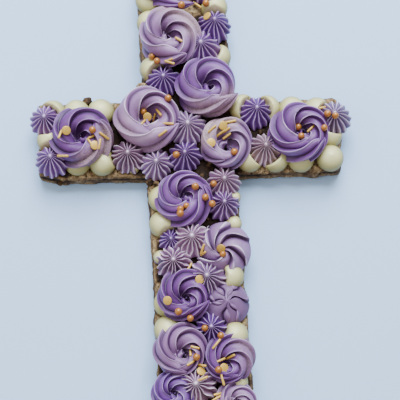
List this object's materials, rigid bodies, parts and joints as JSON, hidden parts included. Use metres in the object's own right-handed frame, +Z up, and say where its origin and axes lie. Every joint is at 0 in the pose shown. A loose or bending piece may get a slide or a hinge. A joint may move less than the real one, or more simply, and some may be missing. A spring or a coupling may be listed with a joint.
{
  "type": "cookie cake",
  "caption": "Cross-shaped cookie cake with a flat crumbly slab, piped buttercream rosettes, ridged star drops, plain kisses along the border and scattered sprinkles.",
  "frame": {"origin": "centre of the box of the whole cake, on the underside of the cookie", "axes": "+Z up, out of the icing; +Y along the shaft of the cross, towards its head; +X along its right arm"},
  "size_m": [0.2508, 0.3762, 0.0346],
  "materials": {
    "cookie": "matte baked crumb with dark chocolate pieces",
    "icing_ivory": "smooth ivory buttercream, satin",
    "icing_pale": "pale lilac buttercream, satin, with paler crests",
    "icing_mid": "mid purple buttercream, satin, with paler crests",
    "icing_violet": "strong violet buttercream, satin, with paler crests",
    "icing_dark": "dark indigo purple buttercream, satin, with paler crests",
    "icing_grey": "greyish lilac buttercream, satin, with paler crests",
    "icing_mauve": "mauve buttercream, satin, with paler crests",
    "icing_rose": "pinkish lilac buttercream, satin, with paler crests",
    "icing_blue": "bluish lavender buttercream, satin, with paler crests",
    "sprinkle_gold": "pearly gold sugar discs and rods",
    "sprinkle_copper": "pearly copper-orange sugar pearls"
  },
  "bodies": {
    "root": {"cookie": "cookie", "flower_petals": "icing_grey", "flower_pinwheel": "icing_grey", "kisses_foot_end_1": "icing_ivory", "kisses_foot_side_1": "icing_ivory", "kisses_head_end_1": "icing_ivory", "kisses_head_end_2": "icing_ivory", "kisses_head_left_1": "icing_ivory", "kisses_head_left_2": "icing_ivory", "kisses_head_right_1": "icing_ivory", "kisses_head_right_2": "icing_ivory", "kisses_left_end_1": "icing_ivory", "kisses_left_high_1": "icing_ivory", "kisses_left_low_1": "icing_ivory", "kisses_left_low_2": "icing_ivory", "kisses_right_end_1": "icing_ivory", "kisses_right_high_1": "icing_ivory", "kisses_right_high_2": "icing_ivory", "kisses_right_high_3": "icing_ivory", "kisses_right_low_1": "icing_ivory", "kisses_right_low_2": "icing_ivory", "kisses_right_low_3": "icing_ivory", "kisses_shaft_left_1": "icing_ivory", "kisses_shaft_left_2": "icing_ivory", "kisses_shaft_left_low_1": "icing_ivory", "kisses_shaft_right_1": "icing_ivory", "rosette_below_bar": "icing_mid", "rosette_centre": "icing_grey", "rosette_end_left": "icing_dark", "rosette_end_right": "icing_pale", "rosette_foot_left": "icing_pale", "rosette_foot_right": "icing_mid", "rosette_head": "icing_mid", "rosette_left_arm": "icing_violet", "rosette_left_inner": "icing_pale", "rosette_low_left": "icing_violet", "rosette_right_arm": "icing_violet", "rosette_top": "icing_pale", "rosette_upper_right": "icing_mid", "star_bar_inner": "icing_grey", "star_bar_left": "icing_mauve", "star_bar_right": "icing_dark", "star_bar_right_low": "icing_rose", "star_cross": "icing_grey", "star_cross_low": "icing_dark", "star_foot_centre": "icing_dark", "star_foot_large": "icing_rose", "star_head": "icing_dark", "star_left_high": "icing_mid", "star_left_low": "icing_mid", "star_right_end": "icing_blue", "star_shaft_centre": "icing_grey", "star_shaft_left": "icing_rose", "star_shaft_middle": "icing_rose", "star_shaft_right": "icing_mauve", "star_shaft_right_low": "icing_mid", "star_small": "icing_dark", "star_top_left": "icing_dark", "star_top_middle": "icing_mid", "star_top_right": "icing_dark"}
  },
  "joints": []
}
